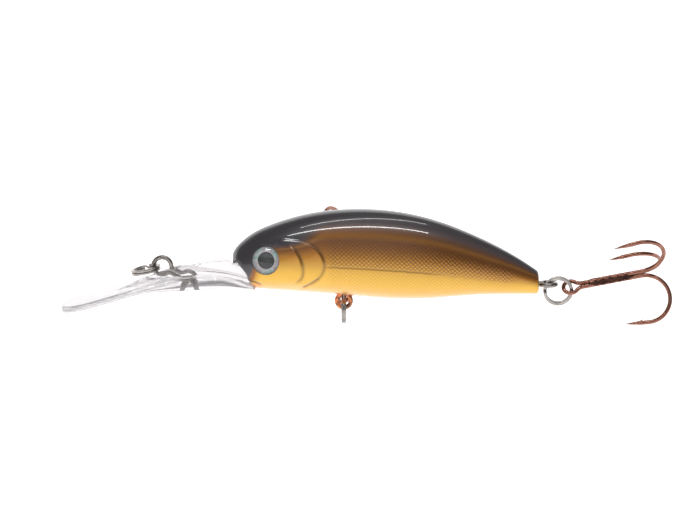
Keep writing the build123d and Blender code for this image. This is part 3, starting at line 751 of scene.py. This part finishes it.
def lip_surface():
    """A grid over the length and round the section. The section is a flat plate with half-round rims, its
    half width an ellipse at the tip and a spline after it. Its upper face is lifted to the spine's edge line
    in the middle by a smooth step across the breadth."""
    tip_rows, rows, across, rim = 36, 184, 70, 9
    quarter = np.arange(tip_rows) / tip_rows * np.pi / 2
    x = np.concatenate([
        LIP_TIP_X + 0.02 * MM + LIP_TIP_ROUND * (1 - np.cos(quarter)),
        np.linspace(LIP_TIP_X + LIP_TIP_ROUND, LIP_END_X, rows),
    ])[:, None]
    tip = np.clip((LIP_TIP_X + LIP_TIP_ROUND - x) / LIP_TIP_ROUND, 0, 1)
    half = smooth_line(LIP_FLANK)(x) * np.sqrt(1 - tip**2)
    top, floor = smooth_line(LIP_TOP)(x), smooth_line(LIP_FLOOR)(x)
    radius = np.minimum((top - floor) / 2, 0.8 * half)
    shelf = (top - floor) / 2 - radius
    flat = np.linspace(-1, 1, across)
    bend = np.linspace(0, np.pi / 2, rim + 1)[1:]
    share = np.concatenate([flat, np.ones(2 * rim - 1), flat[::-1], -np.ones(2 * rim - 1)])[None, :]
    swing = np.concatenate([bend, bend[-2::-1]])
    out = np.concatenate([np.zeros(across), np.sin(swing), np.zeros(across), -np.sin(swing)])[None, :]
    up = np.concatenate([np.ones(across), np.cos(bend), -np.cos(bend[-2::-1]),
                         -np.ones(across), -np.cos(bend), np.cos(bend[-2::-1])])[None, :]
    y = share * (half - radius) + out * radius
    z = (top + floor) / 2 + up * radius + np.sign(up) * shelf * (np.abs(up) > 1e-9)
    spine = np.clip(smooth_line(SPINE_EDGE)(x) - top, 0, None) * (up > 0.999)
    wall = ease((SPINE_FOOT - np.abs(y)) / SPINE_WALL)
    crown = 1 - 0.12 * (np.abs(y) / SPINE_HALF_WIDTH) ** 2
    z = z + spine * wall * crown
    return skin(np.stack([x + 0 * y, y, z], axis=-1))


# ---- Split rings ----

def split_ring(centre, axis, start_way, ring):
    """Two turns of flat wire: a section with rounded corners, whose wave powers make it nearly square,
    carried round a circle. Its height steps from the lower turn to the upper one where the ring opens."""
    start_way = unit(start_way)
    other = np.cross(axis, start_way)
    step = ring.step_angle
    first, last = step / 2, 4 * np.pi - step / 2
    turn = np.linspace(first, last, 260)[:, None, None]
    middle = ring.outer_radius - ring.wire_width / 2
    layer = (ring.coil_thickness + ring.coil_gap) / 2
    height = layer * (2 * ease((turn - 2 * np.pi + first) / step) - 1)
    angle = np.linspace(0, 2 * np.pi, 28, endpoint=False)[None, :, None]
    soft = [np.sign(wave) * np.abs(wave) ** 0.42 for wave in (np.cos(angle), np.sin(angle))]
    ends = 1 - 0.35 * (1 - ease(np.minimum(turn - first, last - turn) / 0.05))
    radial = np.cos(turn) * start_way + np.sin(turn) * other
    reach = middle + ring.wire_width / 2 * soft[0] * ends
    rise = height + ring.coil_thickness / 2 * soft[1] * ends
    return skin(centre + radial * reach + axis * rise)


# ---- Treble hooks ----

# Turns of the double hook's two halves and of the single hook round the bundle, from its single side
DOUBLE_TURNS, SINGLE_TURN = (math.radians(120), math.radians(-120)), 0.0
SHANK_POINTS = 40
# The barb's foot and peak, measured back from the tip and in from the wire's middle, and its thickness
BARB_FOOT, BARB_FOOT_IN, BARB_PEAK, BARB_RISE = 2.0 * MM, 0.12 * MM, 3.35 * MM, 0.3 * MM
BARB_RADIUS, BARB_TIP_RADIUS = 0.2 * MM, 0.03 * MM
TIP_SHARE = 0.04
# The braze's radius between its ends, its swing over the shanks, and the radius its ends thin out to
BRAZE_RADIUS, BRAZE_SWING, BRAZE_THIN = 0.735 * MM, 0.115 * MM, 0.5 * MM


def shank_offset(hook):
    """Distance of each shank from the middle of the bundle of three."""
    return (hook.wire + hook.shank_gap) / math.sqrt(3)


def hook_line(hook):
    """One hook from its shank to its point, in a plane: the shank, the round bend and the straight point.
    The y value is the distance from the middle of the bundle. Also the wire's radius all along, which falls
    towards the tip by a power of the distance left."""
    offset, radius = shank_offset(hook), hook.wire / 2
    heading = hook.bend_angle
    centre = np.array([hook.shank, offset + hook.bend_radius])
    shank = straight((hook.single_start, offset), (hook.shank, offset), SHANK_POINTS)
    bend = arc(centre, hook.bend_radius, -90, math.degrees(heading), 4.0)
    bend_end = centre + hook.bend_radius * np.array([math.sin(heading), -math.cos(heading)])
    run = np.linspace(0, hook.point, 40)[:, None]
    line = np.concatenate([shank, bend, bend_end + run * [math.cos(heading), math.sin(heading)]])
    sharp = np.clip((hook.point - run[:, 0]) / hook.taper, 0, 1) ** 0.85
    taper = radius * (TIP_SHARE + (1 - TIP_SHARE) * sharp)
    return line, np.concatenate([np.full(len(shank) + len(bend), radius), taper])


def hook_plane(hook, flat, turn):
    """Points of a hook's plane put into the treble's own frame, turned round the bundle from +z, with the
    plane's outward direction."""
    out = np.array([0, math.sin(turn), math.cos(turn)])
    return placed(flat, np.array([0, 0, shank_offset(hook) / 2]), np.array([1.0, 0, 0]), out), out


def hook_in_bundle(hook, turn):
    """A hook's path, side vectors and radii in the treble's own frame. The side vector turns from the eye's
    +z to the normal of the hook's own plane along the shank."""
    line, taper = hook_line(hook)
    path, _ = hook_plane(hook, line, turn)
    plane_turn = math.atan2(math.sin(turn), -math.cos(turn))
    plane_turn += math.pi if math.sin(turn) < 0 else 0
    share = ease((path[:, 0] - hook.single_start) / (hook.shank - hook.single_start))
    share[SHANK_POINTS:] = 1
    lean = np.pi / 2 + share * (plane_turn - np.pi / 2)
    side = np.stack([0 * lean, np.cos(lean), np.sin(lean)], axis=1)
    return path, side, taper


def barb(hook, turn):
    """The barb cut up from the inside of the point: a short spike on a shallow arch from the wire to its
    peak, whose radius falls as it leaves the wire."""
    line, _ = hook_line(hook)
    forward = unit(line[-1] - line[-2])
    inward = np.array([-forward[1], forward[0]])
    foot = line[-1] - forward * BARB_FOOT + inward * BARB_FOOT_IN
    peak = line[-1] - forward * BARB_PEAK + inward * (hook.wire / 2 + BARB_RISE)
    share = np.linspace(0, 1, 10)[:, None]
    arch = foot * (1 - share) + peak * share - inward * BARB_FOOT_IN * np.sin(share * np.pi)
    path, out = hook_plane(hook, arch, turn)
    radius = BARB_RADIUS - (BARB_RADIUS - BARB_TIP_RADIUS) * share[:, 0]
    return carried(path, np.cross([1.0, 0, 0], out), radius, 12)


def double_hook(hook):
    """Two hooks made of one wire: in from one point, round the eye and out to the other, with two barbs."""
    gap = shank_offset(hook) * math.sin(DOUBLE_TURNS[0])
    first, second = (hook_in_bundle(hook, turn) for turn in DOUBLE_TURNS)
    flat = eye_line(hook.eye_radius, gap, hook.eye_shoulder, hook.single_start)
    eye = placed(flat[:-1], np.zeros(3), np.array([1.0, 0, 0]), np.array([0, 1.0, 0]))
    up = np.broadcast_to([0, 0, 1.0], eye.shape)
    path = np.concatenate([first[0][:0:-1], eye, second[0]])
    side = np.concatenate([first[1][:0:-1], up, second[1]])
    radius = np.concatenate([first[2][:0:-1], np.full(len(eye), hook.wire / 2), second[2]])
    return joined([carried(path, side, radius), *(barb(hook, turn) for turn in DOUBLE_TURNS)])


def single_hook(hook):
    """The third hook: a ball-shaped start on the bundle, then shank, bend, point and barb."""
    path, _, radius = hook_in_bundle(hook, SINGLE_TURN)
    sweep = np.linspace(0.1, 1, 6)[:-1] * np.pi / 2
    lead = path[0] - np.outer(hook.wire / 2 * np.cos(sweep), [1.0, 0, 0])
    path = np.concatenate([lead, path])
    radius = np.concatenate([hook.wire / 2 * np.sin(sweep), radius])
    return joined([carried(path, np.array([0, 1.0, 0]), radius), barb(hook, SINGLE_TURN)])


def braze_fill(hook):
    """Braze that fills the valleys between the shanks: its radius swings with three times the turn, full over
    each shank and low between them, and its ends thin out in a ripple."""
    along = np.linspace(0, 1, 60)[:, None]
    turn = np.linspace(0, 2 * np.pi, 48, endpoint=False)[None, :]
    lobes = np.cos(3 * turn)
    start = hook.braze_start + 0.5 * MM * lobes
    end = hook.braze_end - 0.7 * MM * lobes + 0.15 * MM * np.sin(2 * turn)
    x = start + (end - start) * along
    ends = ease(along / 0.06) * ease((1 - along) / 0.06)
    ripple = 0.012 * MM * np.sin(9 * along * np.pi)
    radius = BRAZE_THIN + (BRAZE_RADIUS - BRAZE_THIN + BRAZE_SWING * lobes) * ends + ripple
    y, z = radius * np.sin(turn), shank_offset(hook) / 2 + radius * np.cos(turn)
    return skin(np.stack([x, y, z], axis=-1))


def turned_frame(shank_way, single_way):
    """A treble's own directions as rows: along its shank, across it, and towards its single hook."""
    shank = unit(shank_way)
    up = unit(single_way - (single_way @ shank) * shank)
    return np.stack([shank, np.cross(up, shank), up])


def treble_places(hook, ring):
    """Where each treble's eye hangs in its ring, a little short of touching it, and how the treble is
    turned."""
    inner = ring.outer_radius - ring.wire_width - hook.wire / 2
    tail_reach, belly_reach = inner - 0.625 * MM, inner - 0.375 * MM
    tail_low, tail_lift, tail_roll, belly_low = (math.radians(angle) for angle in (-25, 11, 50, 147))

    back = np.array([1.0, 0, 0])
    ring_up = np.cross(back, hinge_axis("tail_treble_swing"))
    tail_at = tail_reach * (back * math.cos(tail_low) + ring_up * math.sin(tail_low))
    shank = np.array([math.cos(tail_lift), 0, math.sin(tail_lift)])
    sideways = np.array([0, -1.0, 0])
    tail_single = sideways * math.cos(tail_roll) + np.cross(sideways, shank) * math.sin(tail_roll)
    belly_at = belly_reach * np.array([0, math.sin(belly_low), -math.cos(belly_low)])
    belly_shank, belly_single = np.array([0.106, 0.824, 0.556]), np.array([-0.548, -0.418, 0.725])
    return {
        "tail": (pivot("tail_treble_swing") + tail_at, turned_frame(shank, tail_single)),
        "belly": (pivot("belly_treble_swing") + belly_at, turned_frame(belly_shank, belly_single)),
    }


# ---- Settings ----

def length(name, description, value):
    """A length in metres, given here in millimetres."""
    return FloatProperty(name=name, description=description, default=value * MM, min=0, precision=5,
                         unit="LENGTH")


def turn_angle(name, description, value):
    """An angle, given here in degrees."""
    return FloatProperty(name=name, description=description, default=math.radians(value), subtype="ANGLE")


def tone(name, description, code):
    """A colour given as sRGB hex."""
    return FloatVectorProperty(name=name, description=description, default=paint(code)[:3], subtype="COLOR",
                               min=0, max=1)


# Middle of the line tie's loop inside the lip, from its outer eye's middle, in millimetres
LINE_TIE_ANCHOR = np.array([4.6, 0, -2.35])


class BodySettings(bpy.types.PropertyGroup):
    """Sizes and colours of the two shells."""
    wall: length("Wall", "Thickness of the shells' wall", 1.2)
    scale_length: length("Scale length", "Distance between scales along the body", 0.78)
    scale_height: length("Scale height", "Distance between rows of scales", 0.72)
    scale_relief: length("Scale relief", "How far the scales stand up", 0.045)
    gill_relief: length("Gill relief", "How far the gill covers stand up", 0.26)
    back_colour: tone("Back", "Sprayed colour of the back", "#383236")
    shoulder_colour: tone("Shoulder", "Colour where the back fades into the gold", "#6a4427")
    belly_colour: tone("Belly", "Sprayed colour of the belly and throat", "#ef8f4d")


class EyeSettings(bpy.types.PropertyGroup):
    """Sizes and colours of the eyes."""
    diameter: length("Diameter", "Diameter of the foil and the dome", 5.0)
    pupil: length("Pupil", "Diameter of the printed pupil", 2.8)
    foil: length("Foil", "Thickness of the printed foil", 0.25)
    dome_edge: length("Dome edge", "Height of the dome's upright edge", 0.5)
    dome_rise: length("Dome rise", "Height of the dome's round cap", 0.75)
    yaw: turn_angle("Yaw", "How far the eyes look forwards", 13)
    pitch: turn_angle("Pitch", "How far the eyes look upwards", 9)
    ring_colour: tone("Ring", "Colour of the pearl ring", "#dfe5e6")


class WireSettings(bpy.types.PropertyGroup):
    """Sizes of the formed wires."""
    hanger_wire: length("Wire", "Diameter of the hanger wires", 0.8)
    strand_gap: length("Strand gap", "Distance between the two strands' middles", 0.88)
    eye_shoulder: length("Shoulder", "Radius of the bend into an eye", 0.64)
    line_tie_eye: length("Line tie", "Radius of the line-tie eye", 1.6)
    line_tie_anchor: length("Line-tie anchor", "Radius of the loop inside the lip", 1.4)
    belly_eye: length("Belly eye", "Radius of the belly eye", 1.25)
    belly_anchor: length("Belly anchor", "Radius of the loop inside the belly", 1.3)
    tail_eye: length("Tail eye", "Radius of the tail eye", 1.35)
    tail_anchor: length("Tail anchor", "Radius of the loop inside the tail", 1.1)


class RingSettings(bpy.types.PropertyGroup):
    """Sizes of the split rings."""
    outer_radius: length("Outer radius", "Outer radius of a ring", 2.67)
    wire_width: length("Wire width", "Width of the flat wire", 0.62)
    coil_thickness: length("Coil thickness", "Thickness of one turn", 0.41)
    coil_gap: length("Coil gap", "Gap between the turns", 0.04)
    step_angle: turn_angle("Step", "Turn over which the wire steps from one layer to the other", 20)


class HookSettings(bpy.types.PropertyGroup):
    """Sizes of the treble hooks."""
    wire: length("Wire", "Diameter of the hook wire", 0.75)
    shank_gap: length("Shank gap", "Gap between two shanks", 0.1)
    eye_radius: length("Eye radius", "Radius of the hook's eye", 1.3)
    eye_shoulder: length("Eye shoulder", "Radius of the bend into the eye", 1.7)
    shank: length("Shank", "Distance from the eye's end to the bend", 14.0)
    bend_radius: length("Bend radius", "Radius of the bend", 4.2)
    bend_angle: turn_angle("Bend angle", "How far the bend turns", 186)
    point: length("Point", "Length from the bend to the tip", 4.2)
    taper: length("Taper", "Length of the sharpened part", 2.7)
    single_start: length("Shank start", "Where the eye ends and the third hook begins", 5.0)
    braze_start: length("Braze start", "Where the braze begins", 5.0)
    braze_end: length("Braze end", "Where the braze ends", 12.2)


class LureSettings(bpy.types.PropertyGroup):
    """All the settings of the lure."""
    body: PointerProperty(type=BodySettings, name="Body", description="Shells")
    eye: PointerProperty(type=EyeSettings, name="Eyes", description="Eyes")
    wire: PointerProperty(type=WireSettings, name="Wires", description="Formed wires")
    ring: PointerProperty(type=RingSettings, name="Rings", description="Split rings")
    hook: PointerProperty(type=HookSettings, name="Hooks", description="Treble hooks")


# ---- Operators ----

class LURE_OT_shells(bpy.types.Operator):
    """Make the two painted half shells of the body"""
    bl_idname = "lure.shells"
    bl_label = "Body Shells"

    def execute(self, context):
        settings = context.scene.lure
        finishes = [lacquered_abs(settings.body), raw_abs()]
        for name, side in (("left", -1), ("right", 1)):
            points, faces, marks, cell = half_shell(side, settings)
            shell = piece(f"{name}_body_shell", points, faces, "lure_body", "painted_body",
                          [f"{name}_shell"], finishes)
            add_marks(shell.data, marks, cell)
        return {"FINISHED"}


class LURE_OT_eyes(bpy.types.Operator):
    """Make the printed foils and the clear domes of both eyes"""
    bl_idname = "lure.eyes"
    bl_label = "Eyes"

    def execute(self, context):
        eye = context.scene.lure.eye
        foil_finish = printed_foil(eye)
        dome_finish = clear_plastic("cast_clear_resin", 1.5, paint("#fafcfc"), 0.02, 1.0)
        for name, side in (("left", -1), ("right", 1)):
            centre, outward = eye_place(side, eye)
            foil = piece(f"{name}_eye_print", *turned(foil_profile(eye), centre, outward), "lure_body",
                         "eye_foil", [f"{name}_eye_foil"], [foil_finish])
            points = np.zeros(len(foil.data.vertices) * 3)
            foil.data.vertices.foreach_get("co", points)
            offset = points.reshape(-1, 3) - centre
            reach = np.linalg.norm(offset - (offset @ outward)[:, None] * outward, axis=1)
            ring = foil.data.attributes.new("ring", "FLOAT", "POINT")
            ring.data.foreach_set("value", (reach / (eye.diameter / 2)).astype(np.float32))
            piece(f"{name}_eye_lens", *turned(dome_profile(eye), centre, outward), "lure_body", "clear_dome",
                  [f"{name}_eye_dome"], [dome_finish])
        return {"FINISHED"}


class LURE_OT_lip(bpy.types.Operator):
    """Make the clear diving lip with its spine"""
    bl_idname = "lure.lip"
    bl_label = "Diving Lip"

    def execute(self, context):
        finish = clear_plastic("moulded_clear_polycarbonate", 1.45, paint("#f6f3f5"), 0.1, 0.84)
        piece("clear_diving_lip", *lip_surface(), "lure_body", "clear_lip", ["diving_lip"], [finish])
        return {"FINISHED"}


class LURE_OT_wires(bpy.types.Operator):
    """Make the line tie and the belly and tail hangers"""
    bl_idname = "lure.wires"
    bl_label = "Formed Wires"

    def execute(self, context):
        wire, body = context.scene.lure.wire, context.scene.lure.body
        steel = drawn_metal("drawn_stainless_wire", paint("#77726f"), paint("#9c9690"), 0.15, 0.1 * MM)
        anchor = LINE_TIE_ANCHOR * MM
        along = unit(anchor)
        middle = np.array([0, 1.0, 0])
        tie = figure_eight(-along * wire.line_tie_eye, anchor + along * wire.line_tie_anchor,
                           wire.line_tie_eye, wire.line_tie_anchor, middle, wire)
        piece("line_tie", *tie, "lure_body", "steel_wire", ["line_tie_wire"], [steel])
        bottom = pivot("belly_ring_swing")
        top = np.array([bottom[0], 0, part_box("belly_hanger_wire")[1].z - wire.hanger_wire / 2])
        belly = figure_eight(bottom, top, wire.belly_eye, wire.belly_anchor, middle, wire)
        piece("belly_hanger", *belly, "lure_body", "steel_wire", ["belly_hanger_wire"],
              [oversprayed_wire(body.belly_colour)])
        rear = pivot("tail_ring_swing")
        front = np.array([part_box("tail_hanger_wire")[0].x + wire.hanger_wire / 2, 0, rear[2]])
        tail = figure_eight(rear, front, wire.tail_eye, wire.tail_anchor, np.array([0, 0, 1.0]), wire)
        piece("tail_hanger", *tail, "lure_body", "steel_wire", ["tail_hanger_wire"], [steel])
        return {"FINISHED"}


class LURE_OT_rings(bpy.types.Operator):
    """Make the three split rings"""
    bl_idname = "lure.rings"
    bl_label = "Split Rings"

    def execute(self, context):
        ring = context.scene.lure.ring
        dark, light = paint("#88827e"), paint("#b3ada8")
        nickel = drawn_metal("black_nickel_plated_flat_wire", dark, light, 0.1, 0.08 * MM)
        mount = MOUNTS["line_tie_ring"]
        tail, belly = "tail_treble_swing", "belly_treble_swing"
        places = {
            "line_tie": (np.array(mount["pos_m"], float), unit(mount["axis"]), (0, 1.0, 0)),
            "tail": (pivot(tail), -hinge_axis(tail), (-1.0, 0, 0)),
            "belly": (pivot(belly), hinge_axis(belly), (0, 0, -1.0)),
        }
        for name, (centre, axis, start) in places.items():
            piece(f"{name}_coil_ring", *split_ring(centre, axis, start, ring), f"{name}_ring", "ring_steel",
                  [f"{name}_split_ring"], [nickel])
        return {"FINISHED"}


class LURE_OT_trebles(bpy.types.Operator):
    """Make the two treble hooks: a double hook, a single hook and the braze that joins them"""
    bl_idname = "lure.trebles"
    bl_label = "Treble Hooks"

    def execute(self, context):
        hook, ring = context.scene.lure.hook, context.scene.lure.ring
        bronze = drawn_metal("bronzed_carbon_steel", paint("#855848"), paint("#a07364"), 0.1, 0.1 * MM)
        copper = drawn_metal("darkened_braze", paint("#2a1c1a"), paint("#4d332b"), 0.3, 0.15 * MM)
        shapes = {"double": double_hook(hook), "single": single_hook(hook), "braze": braze_fill(hook)}
        for name, (origin, turn) in treble_places(hook, ring).items():
            for part, (points, faces) in shapes.items():
                piece(f"{name}_hook_{part}", origin + points @ turn, faces, f"{name}_treble", "hook_bronze",
                      [f"{name}_treble_{part}"], [copper if part == "braze" else bronze])
        return {"FINISHED"}


class LURE_OT_balls(bpy.types.Operator):
    """Give the ballast and rattle balls inside the body their polished steel"""
    bl_idname = "lure.balls"
    bl_label = "Inner Balls"

    def execute(self, context):
        steel = drawn_metal("polished_bearing_steel", paint("#a9abae"), paint("#c9cbce"), 0.1, 0.3 * MM)
        for name in ("front_ballast_ball", "rear_ballast_ball", "front_rattle_ball", "rear_rattle_ball"):
            mesh = frame["nodes"][name].data
            mesh.materials.clear()
            mesh.materials.append(steel)
        return {"FINISHED"}


class LURE_OT_stage(bpy.types.Operator):
    """Make the pale floor, the soft lights and the camera"""
    bl_idname = "lure.stage"
    bl_label = "Stage"

    def execute(self, context):
        scene = context.scene
        world = bpy.data.worlds.new("soft_white_room")
        world.use_nodes = True
        world.node_tree.nodes["Background"].inputs["Color"].default_value = (1, 1, 1, 1)
        world.node_tree.nodes["Background"].inputs["Strength"].default_value = 0.22
        scene.world = world
        scene.view_settings.view_transform = "Standard"

        aim = np.array([33.4, 0, 0.64]) * MM
        tilt, distance = math.radians(12), 346 * MM
        camera = bpy.data.cameras.new("camera")
        camera.lens, camera.sensor_width = 100, 36
        camera.clip_start, camera.clip_end = 0.01, 20
        seen_from = bpy.data.objects.new("camera", camera)
        seen_from.location = aim + distance * np.array([0, -math.cos(tilt), math.sin(tilt)])
        seen_from.rotation_euler = (math.pi / 2 - tilt, 0, 0)
        scene.collection.objects.link(seen_from)
        scene.camera = seen_from

        count = 48
        across = np.linspace(-6, 6, 5)
        bend = np.linspace(0, np.pi / 2, count - 2)
        depth = np.concatenate([[-6.0], 0.9 + 0.5 * np.sin(bend), [1.4]])
        rise = np.concatenate([[0], 0.5 - 0.5 * np.cos(bend), [2.0]]) - 0.075
        grid = np.stack(np.broadcast_arrays(across[None, :], depth[:, None], rise[:, None]), axis=-1)
        mesh = bpy.data.meshes.new("paper_sweep")
        mesh.from_pydata(grid.reshape(-1, 3).tolist(), [], grid_faces(count, 5))
        mesh.shade_smooth()
        mesh.materials.append(opal_acrylic())
        floor = bpy.data.objects.new("paper_sweep", mesh)
        scene.collection.objects.link(floor)

        lights = (
            ("overhead", (0.05, -0.04, 0.5), 0.42, 0.012, 0.3),
            ("strip", (0.03, -0.25, 0.42), 0.45, 0.018, 0.6),
            ("fill", (-0.1, -0.7, 0.25), 0.9, 0.5, 0.6),
        )
        for name, place, width, height, power in lights:
            lamp = bpy.data.lights.new(name, "AREA")
            lamp.shape, lamp.size, lamp.size_y, lamp.energy = "RECTANGLE", width, height, power
            held = bpy.data.objects.new(name, lamp)
            held.location = place
            held.rotation_euler = (Vector(aim) - Vector(place)).to_track_quat("-Z", "Y").to_euler()
            scene.collection.objects.link(held)
        return {"FINISHED"}


class LURE_PT_pieces(bpy.types.Panel):
    """Lists the lure's pieces and its stage"""
    bl_label = "Crankbait Lure"
    bl_idname = "LURE_PT_pieces"
    bl_space_type = "VIEW_3D"
    bl_region_type = "UI"
    bl_category = "Lure"

    def draw(self, context):
        for operator in STEPS:
            self.layout.operator(operator.bl_idname)
        settings = context.scene.lure
        for group in (settings.body, settings.eye, settings.wire, settings.ring, settings.hook):
            box = self.layout.box()
            for name in group.__annotations__:
                box.prop(group, name)


STEPS = (
    LURE_OT_shells, LURE_OT_eyes, LURE_OT_lip, LURE_OT_wires, LURE_OT_rings, LURE_OT_trebles, LURE_OT_balls,
    LURE_OT_stage,
)
CLASSES = (
    BodySettings, EyeSettings, WireSettings, RingSettings, HookSettings, LureSettings, *STEPS, LURE_PT_pieces,
)


def register():
    for made in CLASSES:
        bpy.utils.register_class(made)
    bpy.types.Scene.lure = PointerProperty(type=LureSettings, name="Lure", description="Settings of the lure")


def unregister():
    del bpy.types.Scene.lure
    for made in reversed(CLASSES):
        bpy.utils.unregister_class(made)


def main():
    register()
    bpy.ops.lure.shells()
    bpy.ops.lure.eyes()
    bpy.ops.lure.lip()
    bpy.ops.lure.wires()
    bpy.ops.lure.rings()
    bpy.ops.lure.trebles()
    bpy.ops.lure.balls()
    bpy.ops.lure.stage()


if __name__ == "__main__":
    main()
